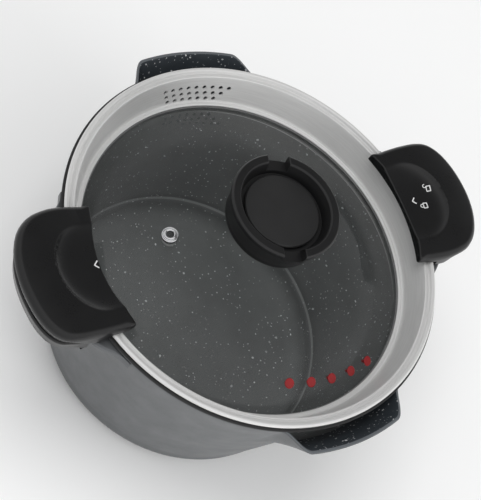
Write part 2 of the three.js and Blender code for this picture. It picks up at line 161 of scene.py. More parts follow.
def stone_coat(name="speckled_nonstick", dark=(0.122, 0.1245, 0.125), light=(0.144, 0.1465, 0.148), chips=((170, 0.45, 0.15), (270, 0.15, 0.16), (390, 0.10, 0.19))):
    m = Mat(name)
    tone = m.mix(m.span(m.noise(45, detail=4), 0.3, 0.7, 0, 1), dark, light)
    # three sizes of pale chips, each cell decides whether and how large
    specks = None
    for scale, low, size in chips:
        warp = m.n("VectorMath", operation="ADD")
        nz = m.n("TexNoise"); nz.inputs["Scale"].default_value = scale * 2.2; m.put(nz.inputs["Vector"], m.co)
        sc = m.n("VectorMath", operation="SCALE"); m.put(sc.inputs[0], nz.outputs["Color"]); sc.inputs["Scale"].default_value = 0.35 / scale
        m.put(warp.inputs[0], m.co); m.put(warp.inputs[1], sc.outputs[0])
        d, c = m.cells(scale, warp.outputs[0])
        s = m.n("SeparateColor"); m.put(s.inputs[0], c)
        pick = m.span(s.outputs[0], low, 1.0, 0.0, size)
        pick = m.math("MAXIMUM", pick, 0.0)
        on = m.math("MULTIPLY", m.math("LESS_THAN", d, pick), m.span(s.outputs[1], 0, 1, 0.35, 1.0))
        specks = on if specks is None else m.math("MAXIMUM", specks, on)
    col = m.mix(specks, tone, (0.66, 0.67, 0.68))
    rough = m.math("ADD", m.span(m.noise(80), 0.3, 0.7, 0.52, 0.62), m.math("MULTIPLY", specks, 0.12))
    nrm = m.bump(m.noise(700, detail=2), 0.12, 0.00015)
    nrm = m.bump(specks, 0.3, 0.00008, nrm)
    return m.done(m.bsdf(col, rough, metal=0.0, normal=nrm, spec=0.32))


def turned(name, color, rough=(0.22, 0.34), fine=1400.0, strength=0.10, metal=1.0):
    m = Mat(name)
    lines = m.noise(1.0, m.polar(fine, 5.0, fine), detail=4, rough=0.6)
    patch = m.noise(30, detail=3)
    c0 = tuple(v * 0.93 for v in color)
    c1 = tuple(min(1, v * 1.05) for v in color)
    col = m.mix(m.span(lines, 0.3, 0.7, 0, 1), c0, c1)
    r = m.math("ADD", m.span(lines, 0.3, 0.7, rough[0], rough[1]), m.span(patch, 0.3, 0.7, -0.02, 0.03))
    nrm = m.bump(lines, strength, 0.00008)
    return m.done(m.bsdf(col, r, metal=metal, normal=nrm, aniso=0.0))


def moulded(name, c0, c1, rough=(0.36, 0.46), grain=2600.0, strength=0.12, spec=0.45, sheen=0.0):
    m = Mat(name)
    tone = m.mix(m.span(m.noise(35, detail=4), 0.3, 0.7, 0, 1), c0, c1)
    g = m.noise(grain, detail=2)
    fine = m.noise(9000, detail=1)
    tone = m.mix(m.span(fine, 0.45, 0.8, 0, 0.25), tone, tuple(v * 1.8 for v in c1))
    r = m.math("ADD", m.span(m.noise(55, detail=3), 0.3, 0.7, rough[0], rough[1]), m.span(g, 0.3, 0.7, -0.03, 0.03))
    nrm = m.bump(g, strength, 0.0001)
    return m.done(m.bsdf(tone, r, normal=nrm, spec=spec, sheen=sheen))


def clear_glass(name, constant=None):
    m = Mat(name)
    tr = m.n("BsdfTransparent")
    tr.inputs["Color"].default_value = (0.968, 0.977, 0.974, 1)
    smear = m.noise(22, detail=5, dist=0.6)
    gl = m.n("BsdfGlossy")
    gl.inputs["Color"].default_value = (1, 1, 1, 1)
    m.put(gl.inputs["Roughness"], m.span(smear, 0.35, 0.75, 0.03, 0.11))
    mx = m.n("MixShader")
    if constant is None:
        fr = m.n("Fresnel")
        fr.inputs["IOR"].default_value = 1.3
        m.put(mx.inputs[0], m.math("MINIMUM", fr.outputs[0], 0.25))
    else:
        m.put(mx.inputs[0], m.span(smear, 0.3, 0.7, constant * 0.8, constant * 1.2))
    m.t.links.new(tr.outputs[0], mx.inputs[1])
    m.t.links.new(gl.outputs[0], mx.inputs[2])
    return m.done(mx.outputs[0])


def steel_plain():
    m = Mat("stamped_steel")
    g = m.noise(1600, detail=3)
    col = m.mix(m.span(m.noise(70), 0.3, 0.7, 0, 1), (0.42, 0.42, 0.42), (0.52, 0.52, 0.51))
    return m.done(m.bsdf(col, m.span(g, 0.3, 0.7, 0.3, 0.42), metal=1.0, normal=m.bump(g, 0.08, 0.00008)))


def chrome():
    m = Mat("vent_chrome")
    g = m.noise(500, detail=3)
    return m.done(m.bsdf(m.mix(g, (0.72, 0.73, 0.74), (0.80, 0.80, 0.81)), m.span(g, 0.3, 0.7, 0.07, 0.15), metal=1.0))


def floor_mat():
    m = Mat("pale_floor")
    col = m.mix(m.noise(3, detail=3), (0.93, 0.93, 0.928), (0.96, 0.96, 0.958))
    return m.done(m.bsdf(col, m.span(m.noise(40), 0.3, 0.7, 0.55, 0.65), spec=0.2))


M = {
    "paint": satin_paint(),
    "stone": stone_coat(),
    # ridge faces: the speckled coat painted lighter, a painted highlight for the light line at the bottom corner
    "stone_ridge_painted_highlight": stone_coat("speckled_nonstick_ridge_painted_highlight", (0.21, 0.212, 0.213), (0.25, 0.252, 0.253)),
    # spout faces: the same speckled coat painted much darker, painted shade under the lid band
    "stone_lip_painted_shade": stone_coat("speckled_nonstick_lip_painted_shade", (0.024, 0.030, 0.036), (0.033, 0.039, 0.046), ((210, 0.15, 0.18), (310, 0.0, 0.20), (430, 0.0, 0.22))),
    # rim faces: the speckled coat painted lighter, a painted highlight along the lit top edge
    "rim": turned("rim_painted_highlight", (0.20, 0.215, 0.23), (0.3, 0.4), metal=0.6),
    "gasket": moulded("edge_silicone", (0.13, 0.13, 0.13), (0.17, 0.17, 0.17), rough=(0.4, 0.5), grain=1500.0, strength=0.1),
    "band": turned("band_steel", (0.70, 0.697, 0.69), (0.36, 0.46), strength=0.06, metal=0.35),
    "plate": turned("base_steel", (0.55, 0.55, 0.55), (0.24, 0.36), fine=2200.0, strength=0.2),
    "steel": steel_plain(),
    "chrome": chrome(),
    "glass": clear_glass("clear_glass"),
    "glass_in": clear_glass("clear_glass_inner", 0.012),
    "black": moulded("black_plastic", (0.0042, 0.0042, 0.0045), (0.0060, 0.0060, 0.0063), rough=(0.27, 0.35), strength=0.08),
    "knob": moulded("knob_plastic", (0.0060, 0.0060, 0.0063), (0.0085, 0.0085, 0.0088), rough=(0.32, 0.40), grain=3200.0, strength=0.08),
    "soft": moulded("knob_inlay", (0.0140, 0.0140, 0.0143), (0.018, 0.018, 0.0183), rough=(0.42, 0.52), grain=2000.0, strength=0.15),
    "rubber": moulded("dark_silicone", (0.012, 0.012, 0.0125), (0.02, 0.02, 0.0205), rough=(0.5, 0.62), grain=1500.0, strength=0.2, sheen=0.1),
    "red": moulded("red_silicone", (0.23, 0.008, 0.010), (0.30, 0.012, 0.014), rough=(0.42, 0.52), grain=1800.0, strength=0.12),
    "white": moulded("white_marking", (0.62, 0.62, 0.62), (0.70, 0.70, 0.70), rough=(0.45, 0.55), grain=4000.0, strength=0.06),
    "floor": floor_mat(),
}

# ------------------------------------------------------------------ mesh helpers
def make(name, verts, faces, mats, index=None, sharp=38.0, body=None, replaces=()):
    """closed mesh in millimetres; faces turned outwards, shading split at sharp edges"""
    v = np.asarray(verts, float)
    vol = 0.0
    for f in faces:
        a = v[f[0]]
        for i in range(1, len(f) - 1):
            vol += np.dot(a, np.cross(v[f[i]], v[f[i + 1]]))
    if vol < 0:
        faces = [tuple(reversed(f)) for f in faces]
    me = bpy.data.meshes.new(name)
    me.from_pydata((v * MM).tolist(), [], faces)
    for k in mats if isinstance(mats, (list, tuple)) else [mats]:
        me.materials.append(M[k])
    if index is not None:
        me.polygons.foreach_set("material_index", np.asarray(index, np.int32))
    me.validate()
    o = bpy.data.objects.new(name, me)
    bpy.context.scene.collection.objects.link(o)
    smooth(o, sharp)
    if body:
        place(o, body, replaces)
    return o


def smooth(o, sharp=38.0):
    me = o.data
    me.polygons.foreach_set("use_smooth", np.ones(len(me.polygons), bool))
    me.set_sharp_from_angle(angle=math.radians(sharp))
    me.update()


def place(o, body, replaces=()):
    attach(o, body)
    if replaces:
        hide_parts(*([replaces] if isinstance(replaces, str) else replaces))
    return o


def rounded(points, radius=0.3, steps=4, closed=True):
    """polygon [(x, y) or (x, y, r)] with each corner turned into an arc"""
    P = [np.array(p[:2], float) for p in points]
    Rr = [p[2] if len(p) > 2 else radius for p in points]
    n = len(P)
    out = []
    for i in range(n):
        p, a, b = P[i], P[i - 1], P[(i + 1) % n]
        if not closed and i in (0, n - 1):
            out.append(tuple(p)); continue
        u, w = a - p, b - p
        lu, lw = np.linalg.norm(u), np.linalg.norm(w)
        if lu < 1e-9 or lw < 1e-9 or Rr[i] <= 0:
            out.append(tuple(p)); continue
        u, w = u / lu, w / lw
        ang = math.acos(max(-1, min(1, float(u @ w))))
        if ang > math.radians(176):
            out.append(tuple(p)); continue
        t = min(Rr[i] / math.tan(ang / 2), 0.46 * lu, 0.46 * lw)
        A, B = p + u * t, p + w * t
        k = math.sin(ang / 2)
        for s in np.linspace(0, 1, steps + 1):
            q = ((1 - s) ** 2 * A + 2 * k * s * (1 - s) * p + s * s * B) / ((1 - s) ** 2 + 2 * k * s * (1 - s) + s * s)
            out.append(tuple(q))
    res = [out[0]]
    for q in out[1:]:
        if math.hypot(q[0] - res[-1][0], q[1] - res[-1][1]) > 0.02:
            res.append(q)
    return res


def refine(points, step, closed=True):
    """extra points on long stretches"""
    out = []
    n = len(points)
    for i in range(n if closed else n - 1):
        a, b = np.array(points[i], float), np.array(points[(i + 1) % n], float)
        k = max(1, int(math.ceil(np.linalg.norm(b - a) / step)))
        for j in range(k):
            out.append(tuple(a + (b - a) * j / k))
    if not closed:
        out.append(tuple(points[-1]))
    return out


def turned_mesh(profile, seg=240, thetas=None):
    """vertices and faces of a solid of revolution. A profile that starts and ends on the axis is capped there, any other is closed on itself."""
    th = np.linspace(0, 2 * math.pi, seg, endpoint=False) if thetas is None else np.asarray(thetas)
    seg = len(th)
    axis = profile[0][0] < 1e-6 and profile[-1][0] < 1e-6
    verts, rows = [], []
    for r, z in profile:
        if r < 1e-6:
            rows.append([len(verts)] * seg)
            verts.append((0, 0, z))
        else:
            rows.append(list(range(len(verts), len(verts) + seg)))
            verts += list(zip(r * np.cos(th), r * np.sin(th), [z] * seg))
    faces, row_of = [], []
    n = len(profile)
    for i in range(n - 1 if axis else n):
        a, b = rows[i], rows[(i + 1) % n]
        for j in range(seg):
            k = (j + 1) % seg
            f = [a[j], a[k], b[k], b[j]]
            g = [f[m] for m in range(4) if f[m] != f[m - 1]]
            if len(g) >= 3:
                faces.append(tuple(g)); row_of.append(i)
    return np.array(verts, float), faces, row_of


def lathe(name, profile, mats, seg=240, body=None, replaces=(), sharp=38.0, ring=None, az=0.0, index=None):
    v, f, rows = turned_mesh(profile, seg)
    if ring is not None:
        v = seat(v, ring, az)
    idx = [index(profile[i], profile[(i + 1) % len(profile)]) for i in rows] if index else None
    return make(name, v, f, mats, idx, sharp, body, replaces)


GLASS_T, GLASS_TOP, DOME = 4.0, L + 7.0, 200.4
def dome_z(r):
    return GLASS_TOP - (DOME - np.sqrt(DOME * DOME - np.asarray(r, float) ** 2))


def seat(v, ring, az):
    """moves a turned piece from the origin onto the dome, heights along its normal"""
    t = math.asin(ring / DOME)
    a = math.radians(az)
    v = np.asarray(v, float)
    x, y, z = v[:, 0], v[:, 1], v[:, 2]
    x, z = x * math.cos(t) + z * math.sin(t) + ring, -x * math.sin(t) + z * math.cos(t) + float(dome_z(ring))
    return np.stack([x * math.cos(a) - y * math.sin(a), x * math.sin(a) + y * math.cos(a), z], 1)


def prism(poly, z0, z1):
    n = len(poly)
    v = [(x, y, z0) for x, y in poly] + [(x, y, z1) for x, y in poly]
    f = [tuple(reversed(range(n))), tuple(range(n, 2 * n))]
    f += [(i, (i + 1) % n, n + (i + 1) % n, n + i) for i in range(n)]
    return np.array(v, float), f


def merged(parts):
    V, F = [], []
    k = 0
    for v, f in parts:
        V.append(v); F += [tuple(i + k for i in g) for g in f]; k += len(v)
    return np.concatenate(V), F


def cut(o, parts, op="DIFFERENCE", sharp=38.0):
    """boolean with a set of closed shells"""
    for i, (v, f) in enumerate(parts):
        vol = 0.0
        for g in f:
            for j in range(1, len(g) - 1):
                vol += np.dot(v[g[0]], np.cross(v[g[j]], v[g[j + 1]]))
        if vol < 0:
            parts[i] = (v, [tuple(reversed(g)) for g in f])
    v, f = merged(parts)
    me = bpy.data.meshes.new("cutter")
    me.from_pydata((v * MM).tolist(), [], f)
    me.update()
    c = bpy.data.objects.new("cutter", me)
    bpy.context.scene.collection.objects.link(c)
    c.hide_render = True
    mod = o.modifiers.new("cut", "BOOLEAN")
    mod.object = c
    mod.operation = op
    mod.solver = "EXACT"
    bpy.context.view_layer.update()
    dg = bpy.context.evaluated_depsgraph_get()
    new = bpy.data.meshes.new_from_object(o.evaluated_get(dg))
    if len(new.polygons) < 0.5 * len(o.data.polygons):
        raise RuntimeError(f"cut left {o.name} with {len(new.polygons)} of {len(o.data.polygons)} faces")
    o.modifiers.clear()
    old = o.data
    o.data = new
    bpy.data.meshes.remove(old)
    bpy.data.objects.remove(c)
    bpy.data.meshes.remove(me)
    smooth(o, sharp)
    return o


def half_turn(o, name, body, replaces=()):
    """the same piece on the other side of the pot"""
    me = o.data.copy()
    me.transform(Matrix.Rotation(math.pi, 4, "Z"))
    me.name = name
    c = bpy.data.objects.new(name, me)
    bpy.context.scene.collection.objects.link(c)
    return place(c, body, replaces)


def set_normals(o, fn, limit=0.9):
    """analytic normals for the faces of a smooth surface that was cut; fn(point in mm) gives the surface normal or None"""
    me = o.data
    base = np.zeros(len(me.loops) * 3, np.float32)
    me.corner_normals.foreach_get("vector", base)
    base = base.reshape(-1, 3)
    co = np.zeros(len(me.vertices) * 3, np.float32)
    me.vertices.foreach_get("co", co)
    co = co.reshape(-1, 3) / MM
    lv = np.zeros(len(me.loops), np.int32)
    me.loops.foreach_get("vertex_index", lv)
    pn = np.zeros(len(me.polygons) * 3, np.float32)
    me.polygons.foreach_get("normal", pn)
    pn = pn.reshape(-1, 3)
    for i, p in enumerate(me.polygons):
        s, e = p.loop_start, p.loop_start + p.loop_total
        n = fn(co[lv[s:e]])
        if n is None:
            continue
        d = n @ pn[i]
        if np.abs(d).min() > limit:
            base[s:e] = n * np.sign(d)[:, None]
    me.normals_split_custom_set(base.tolist())


# ------------------------------------------------------------------ pot
RIM_Z, RIM_R, FOOT_R, CORNER = 133.5, 121.0, 93.5, 16.0
def wall_r(z):
    return FOOT_R + (RIM_R - FOOT_R) * np.maximum(0, z - CORNER) / (RIM_Z - CORNER)


def spout_push(v):
    r = np.hypot(v[:, 0], v[:, 1])
    a = np.abs(np.abs(np.degrees(np.arctan2(v[:, 1], v[:, 0]))) - 86)
    t = np.clip((21.5 - a) / 7.9, 0, 1)
    s = t * t * (3 - 2 * t)
    k = np.clip((v[:, 2] - (RIM_Z - 44)) / 44, 0, 1)
    d = 14.35 * s * k ** 1.35 * (r > 40)
    out = v.copy()
    ok = r > 1e-6
    out[ok, 0] *= (r[ok] + d[ok]) / r[ok]
    out[ok, 1] *= (r[ok] + d[ok]) / r[ok]
    return out


def pot_shell():
    outer = [(0, 1.9), (76.3, 1.9, 0.2), (76.3, 0.4, 0.3)]
    for i in range(11):
        a = i / 10 * math.pi / 2
        outer.append((FOOT_R - CORNER + CORNER * math.sin(a), 0.4 + CORNER - CORNER * math.cos(a), 0))
    for z in np.arange(22, 132, 2.5):
        outer.append((float(wall_r(z)), float(z), 0))
    outer.append((RIM_R, RIM_Z, 1.0))
    inner = [(RIM_R - 2.7, RIM_Z, 0.8)]
    for z in np.arange(131.5, 22, -2.5):
        inner.append((float(wall_r(z)) - 2.8, float(z), 0))
    # the wall ends in a low step above the bottom corner
    inner += [(float(wall_r(21)) - 2.3, 21.0, 0.4), (91.6, 19.3, 0.4), (90.9, 17.8, 0)]
    ci = 13.0
    cx = 90.7 - ci
    for i in range(1, 11):
        a = math.pi / 2 * (1 - i / 10)
        inner.append((cx + ci * math.sin(a), 4.6 + ci - ci * math.cos(a), 0))
    inner += [(60, 4.5, 0), (30, 4.4, 0), (0, 4.4)]
    prof = rounded(outer + inner, 0.3, 5, closed=False)
    base = list(np.arange(0, 360, 2.5))
    fine = [c + s * d for c in (86, 274) for s in (-1, 1) for d in np.arange(12.0, 23.01, 0.5)]
    th = np.radians(sorted(set(round(x % 360, 3) for x in base + fine)))
    v, f, rows = turned_mesh(prof, thetas=th)
    v = spout_push(v)
    top = [i for i, p in enumerate(prof) if p[1] > RIM_Z - 0.12]
    t0, t1 = min(top), max(top)
    r_f = np.array([max(math.hypot(v[k][0], v[k][1]) for k in g) for g in f])
    z_f = np.array([max(v[k][2] for k in g) for g in f])
    lip = (z_f > 112) & (r_f > wall_r(z_f) - 1.0)                    # inner faces pushed out by a spout, which get the coat painted darker as painted shade
    z_low = np.array([min(v[k][2] for k in g) for g in f])
    ridge = (z_low > 18.9) & (z_f < 21.2)                            # low ridge above the bottom corner, painted lighter as a painted highlight line
    idx = [0 if i < t0 else (2 if i < t1 else (3 if lip[n] else (4 if ridge[n] else 1))) for n, i in enumerate(rows)]
    return make("pot_shell", v, f, ["paint", "stone", "rim", "stone_lip_painted_shade", "stone_ridge_painted_highlight"], idx, 50, "pot", "pot_body")

pot_shell()

# base plate: pressed steel disc with turned rings
prof = [(0, 0.25)]
r = 4.0
while r < 72:
    prof += [(r, 0.25), (r + 0.35, 0.0), (r + 2.2, 0.0), (r + 2.55, 0.25)]
    r += 3.6
prof += [(75.2, 0.0), (76.0, 0.5), (76.0, 1.6), (0, 1.6)]
lathe("base_disc", prof, "plate", 180, "pot", "base_plate", 30)


def lug_mesh():
    """crescent swept along the rim with rounded outer edges, its tongue reaching into the handle"""
    n, half, m = 108, 27.0, 6
    verts, rows = [], []
    for a in np.radians(np.linspace(-half, half, n)):
        k = min(1, max(0, (25 - abs(math.degrees(a))) / 9))
        ro = 121.35 + 7.9 * k * k * (3 - 2 * k)
        e = min(1.5, max(0.05, (ro - 121.1) * 0.5))
        z0, z1 = L - 10.4, L - 5.6
        sec = [(float(wall_r(z0)) + 0.05, z0)]
        for i in range(m + 1):
            t = -math.pi / 2 + math.pi / 2 * i / m
            sec.append((ro - e + e * math.cos(t), z0 + e + e * math.sin(t)))
        for i in range(m + 1):
            t = math.pi / 2 * i / m
            sec.append((ro - e + e * math.cos(t), z1 - e + e * math.sin(t)))
        sec.append((float(wall_r(z1)) + 0.05, z1))
        rows.append([len(verts) + i for i in range(len(sec))])
        verts += [(q[0] * math.cos(a), q[0] * math.sin(a), q[1]) for q in sec]
    faces = [tuple(rows[0]), tuple(reversed(rows[-1]))]
    s = len(rows[0])
    for i in range(n - 1):
        for j in range(s):
            faces.append((rows[i][j], rows[i + 1][j], rows[i + 1][(j + 1) % s], rows[i][(j + 1) % s]))
    return make("lug_right", verts, faces, "paint", None, 40)

lug_r = lug_mesh()
cut(lug_r, [prism([(124, -11), (145, -11), (148, -8), (148, 8), (145, 11), (124, 11)], L - 10.0, L - 7.4)], "UNION", 40)
place(lug_r, "pot", "handle_lug_right")
half_turn(lug_r, "lug_left", "pot", "handle_lug_left")

# ------------------------------------------------------------------ grips
SIDE_POS = [(112, 38.4), (124, 39.0), (136, 38.8), (144, 36.6), (150.2, 30.5), (154.6, 20.5), (156.9, 7.0)]
SIDE_NEG = [(156.8, -7.0), (154.0, -19.5), (148.2, -30.5), (140.0, -37.6), (130.6, -40.6), (121.0, -41.4), (110.5, -40.6)]


def spline(pts, step):
    """centripetal curve through the points, evenly resampled"""
    P = [np.array(p, float) for p in pts]
    P = [2 * P[0] - P[1]] + P + [2 * P[-1] - P[-2]]
    out = []
    for i in range(1, len(P) - 2):
        p0, p1, p2, p3 = P[i - 1:i + 3]
        for s in np.linspace(0, 1, 24, endpoint=False):
            out.append(0.5 * ((2 * p1) + (-p0 + p2) * s + (2 * p0 - 5 * p1 + 4 * p2 - p3) * s * s + (-p0 + 3 * p1 - 3 * p2 + p3) * s ** 3))
    out.append(P[-2])
    out = np.array(out)
    d = np.concatenate([[0], np.cumsum(np.hypot(*np.diff(out, axis=0).T))])
    n = int(round(d[-1] / step))
    q = np.linspace(0, d[-1], n + 1)
    return np.stack([np.interp(q, d, out[:, 0]), np.interp(q, d, out[:, 1])], 1)


def grip_loop(in_r, grow=0.0, step=0.75, corner=2.0):
    """closed outline of a grip, anticlockwise from the -y end of the inner arc"""
    a0, a1 = math.asin(37.2 / in_r), -math.asin(38.6 / in_r)
    start = max(in_r * 0.95 + 6, 0)
    side = [p for p in SIDE_NEG[::-1] if p[0] >= start] + [p for p in SIDE_POS[::-1] if p[0] >= start]
    side = [(x + grow * (x - 128) / math.hypot(x - 128, y), y + grow * y / math.hypot(x - 128, y)) for x, y in side]
    c0 = (in_r * math.cos(a1), in_r * math.sin(a1))
    c1 = (in_r * math.cos(a0), in_r * math.sin(a0))
    curve = spline([c0] + side + [c1], step)
    arc = [(in_r * math.cos(a), in_r * math.sin(a)) for a in np.linspace(a0, a1, int(in_r * (a0 - a1) / step))][1:-1]
    loop = [tuple(p) for p in curve] + arc
    # soften the two corners where the arc meets the sides
    poly = np.array(loop)
    n = len(poly)
    for c in (0, len(curve) - 1):
        k = max(2, int(corner / step))
        i0, i1 = (c - k) % n, (c + k) % n
        A, B, Pm = poly[i0].copy(), poly[i1].copy(), poly[c].copy()
        for j in range(2 * k + 1):
            s = j / (2 * k)
            w = 0.8
            poly[(i0 + j) % n] = ((1 - s) ** 2 * A + 2 * w * s * (1 - s) * Pm + s * s * B) / ((1 - s) ** 2 + 2 * w * s * (1 - s) + s * s)
    return poly


def dist_to(loop, pts):
    """shortest distance of each point to a closed outline, and the nearest place on it"""
    a, b = loop, np.roll(loop, -1, axis=0)
    ab = b - a
    L2 = (ab ** 2).sum(1)
    best = np.full(len(pts), 1e9)
    near = np.zeros((len(pts), 2))
    for k in range(0, len(pts), 2000):
        p = pts[k:k + 2000]
        t = np.clip(((p[:, None, :] - a[None]) * ab[None]).sum(2) / L2[None], 0, 1)
        q = a[None] + ab[None] * t[:, :, None]
        d = np.hypot(p[:, None, 0] - q[:, :, 0], p[:, None, 1] - q[:, :, 1])
        i = d.argmin(1)
        best[k:k + 2000] = d[np.arange(len(p)), i]
        near[k:k + 2000] = q[np.arange(len(p)), i]
    return best, near


def smin(a, b, k):
    h = np.clip(0.5 + 0.5 * (b - a) / k, 0, 1)
    return b + (a - b) * h - k * h * (1 - h)


TOP = L + 8.5
def grip_top(x, y):
    """height of a lid grip's top before its edges are rounded"""
    u, w = (x - 117.0) / 60.0, y / 88.0
    crown = TOP - 25.6 + 26 * np.sqrt(np.clip(1 - u * u - w * w, 0.05, 1)) + 0.13 * np.clip(x - 110.0, 0, 60)
    e = 1 - ((x - 104.0) / 32.0) ** 2 - ((y + 0.5) / 31.5) ** 2
    dish = TOP + 2.6 - 7.5 * np.sqrt(np.clip(e, 0, 1)) + 40 * np.clip(-e, 0, 1)
    return smin(crown, dish, 0.55)


def pillow(name, loop, centre, z_low, top_fn, edge, low_edge, mats, rings=46, sharp=50, lean=0.0):
    """solid with the given outline: top surface top_fn with edges rounded by edge(near point), straight side, flat underside with rounded edge"""
    n = len(loop)
    c = np.array(centre, float)
    rho = 1 - np.concatenate([np.linspace(0, 0.13, 14), 0.13 + (1 - 0.13) * np.linspace(0, 1, rings - 13)[1:]])
    rho = rho[:-1]
    pts = (c[None, None] + (loop[None] - c) * rho[:, None, None]).reshape(-1, 2)
    pts = np.concatenate([pts, c[None]])
    d, near = dist_to(loop, pts)
    R = edge(near)
    zt = top_fn(pts[:, 0], pts[:, 1])
    q = np.clip(1 - d / R, 0, 1)
    zt = zt - R * (1 - np.sqrt(np.clip(1 - q * q, 0, 1)))
    verts = [(x, y, z) for (x, y), z in zip(pts, zt)]
    m = len(rho)
    faces = []
    for k in range(m - 1):
        for j in range(n):
            i = (j + 1) % n
            faces.append((k * n + j, k * n + i, (k + 1) * n + i, (k + 1) * n + j))
    for j in range(n):
        faces.append(((m - 1) * n + j, (m - 1) * n + (j + 1) % n, m * n))
    # side wall down to the rounded lower edge, then the underside
    last = list(range(n))
    z_top = zt[:n]
    nrm = np.roll(loop, -1, axis=0) - np.roll(loop, 1, axis=0)
    nrm = np.stack([-nrm[:, 1], nrm[:, 0]], 1)
    nrm /= np.hypot(*nrm.T)[:, None]
    far = np.clip((np.hypot(loop[:, 0], loop[:, 1]) - 128.0) / 18.0, 0, 1)
    far = (far * far * (3 - 2 * far))[:, None]
    wall = loop
    for s in np.linspace(0, 1, 7)[1:]:
        row = list(range(len(verts), len(verts) + n))
        wall = loop + nrm * far * lean * s
        verts += [(wall[j][0], wall[j][1], z_top[j] + (z_low + low_edge - z_top[j]) * s) for j in range(n)]
        faces += [(last[(j + 1) % n], last[j], row[j], row[(j + 1) % n]) for j in range(n)]
        last = row
    loop = wall
    for s in np.linspace(0, math.pi / 2, 6)[1:]:
        row = list(range(len(verts), len(verts) + n))
        q = low_edge * (1 - math.cos(s))
        z = z_low + low_edge * (1 - math.sin(s))
        verts += [(loop[j][0] + nrm[j][0] * q, loop[j][1] + nrm[j][1] * q, z) for j in range(n)]
        faces += [(last[(j + 1) % n], last[j], row[j], row[(j + 1) % n]) for j in range(n)]
        last = row
    faces.append(tuple(reversed(last)))
    return make(name, verts, faces, mats, None, sharp)


def grip_edge(near):
    r = np.hypot(near[:, 0], near[:, 1])
    t = np.clip((r - 107.6) / 6.0, 0, 1)
    return 1.1 + 2.7 * t * t * (3 - 2 * t)


grip_r = pillow("grip_right", grip_loop(107.0), (128.5, -1.0), L - 4.6, grip_top, grip_edge, 1.0, "black", 50, 40, lean=3.5)
cyl, cf, _ = turned_mesh([(0, 100), (122.3, 100), (122.3, L + 0.5), (0, L + 0.5)], 360)
cut(grip_r, [(cyl, cf)], "DIFFERENCE", 40)
cut(grip_r, [prism([(111, -26), (144.6, -24), (148.6, -16), (148.6, 16), (144.6, 24), (111, 26)], L - 10, L + 2.6)], "DIFFERENCE", 40)
place(grip_r, "lid", "lid_grip_right")
half_turn(grip_r, "grip_left", "lid", "lid_grip_left")

def ribbon(path, width, closed=False):
    """thin raised line that follows a path over the grip's top"""
    P = np.array(path, float)
    Q = []
    n = len(P)
    for i in range(n if closed else n - 1):
        a, b = P[i], P[(i + 1) % n]
        k = max(1, int(math.ceil(np.hypot(*(b - a)) / 0.6)))
        Q += [a + (b - a) * j / k for j in range(k)]
    if not closed:
        Q.append(P[-1])
    Q = np.array(Q)
    if closed:
        T = np.roll(Q, -1, axis=0) - np.roll(Q, 1, axis=0)
    else:
        T = np.gradient(Q, axis=0)
    T /= np.hypot(*T.T)[:, None]
    N = np.stack([-T[:, 1], T[:, 0]], 1)
    A, B = Q + N * width / 2, Q - N * width / 2
    za, zb = grip_top(A[:, 0], A[:, 1]), grip_top(B[:, 0], B[:, 1])
    m = len(Q)
    V = np.concatenate([np.column_stack([A, za + 0.10]), np.column_stack([B, zb + 0.10]), np.column_stack([B, zb - 0.3]), np.column_stack([A, za - 0.3])])
    F = []
    for i in range(m if closed else m - 1):
        j = (i + 1) % m
        for k in range(4):
            F.append((k * m + i, k * m + j, ((k + 1) % 4) * m + j, ((k + 1) % 4) * m + i))
    if not closed:
        F += [(0, m, 2 * m, 3 * m), (4 * m - 1, 3 * m - 1, 2 * m - 1, m - 1)]
    return V, F


def padlock(cx, cy, az, size, is_open):
    """outline padlock: body box and shackle, as ribbons"""
    a = math.radians(az)
    put = lambda pts: [(cx + (u * math.cos(a) - w * math.sin(a)) * size, cy + (u * math.sin(a) + w * math.cos(a)) * size) for u, w in pts]
    body = put([(-1.0, -1.1), (1.0, -1.1), (1.0, 0.35), (-1.0, 0.35)])
    arc = [(0.62 * math.cos(t), 0.9 + 0.6 * math.sin(t)) for t in np.linspace(0, math.pi, 9)]
    dx = 1.24 if is_open else 0.0
    shackle = put([(0.62 + dx, 0.75 if is_open else 0.35)] + [(u + dx, w) for u, w in arc] + [(-0.62 + dx, 0.35)])
    return [ribbon(body, 0.62, True), ribbon(shackle, 0.5)]


def symbols(name, parts, turned_over=False):
    V, F = merged(parts)
    if turned_over:
        V = V * np.array([-1.0, -1.0, 1.0])
    o = make(name, V, F, "white", None, 40)
    return place(o, "lid")

symbols("mark_locked", padlock(121.8, -4.4, 82, 1.7, False))
symbols("mark_unlocked", padlock(128.6, 5.8, 82, 1.7, True))
symbols("mark_arrow_right", [ribbon([(117.2, -1.7), (115.2, 0.5), (117.4, 2.6)], 0.75)])
symbols("mark_arrow_left", [ribbon([(108.0, -5.2), (110.6, -2.9), (108.4, -0.8)], 0.75)], True)

# lower handle of the pot
flat_top = lambda x, y: np.full_like(x, L - 5.3)
handle_r = pillow("handle_right", grip_loop(130.0, -3.2, corner=1.4), (142.0, -1.0), L - 15.6, flat_top,
                  lambda near: np.full(len(near), 1.3), 3.0, "black", 34, 40, lean=1.5)
for rr, z0, z1 in ((4.9, L - 20.0, L - 13.2), (2.6, L - 10.9, L - 6.4)):
    bv, bf, _ = turned_mesh([(0, z0), (rr, z0), (rr, z1), (0, z1)], 34)
    cut(handle_r, [(bv + np.array([138.03, 0.04, 0]), bf)], "DIFFERENCE", 40)
groove = []
for i in range(17):
    p = math.pi * i / 16
    groove.append((1.0 * math.sin(p), -1.0 * math.cos(p)))
gv, gf, _ = turned_mesh([(max(0.0, a), b) for a, b in groove], 48)
gv = gv * np.array([6.0, 27.0, 4.0]) + np.array([148.5, 0, L - 15.6 - 1.6])
cut(handle_r, [(gv, gf)], "DIFFERENCE", 40)
cut(handle_r, [prism([(120, -11.4), (145.2, -11.4), (148.4, -8.2), (148.4, 8.2), (145.2, 11.4), (120, 11.4)], L - 10.3, L - 7.1)], "DIFFERENCE", 40)
place(handle_r, "pot", "pot_handle_right")
half_turn(handle_r, "handle_left", "pot", "pot_handle_left")

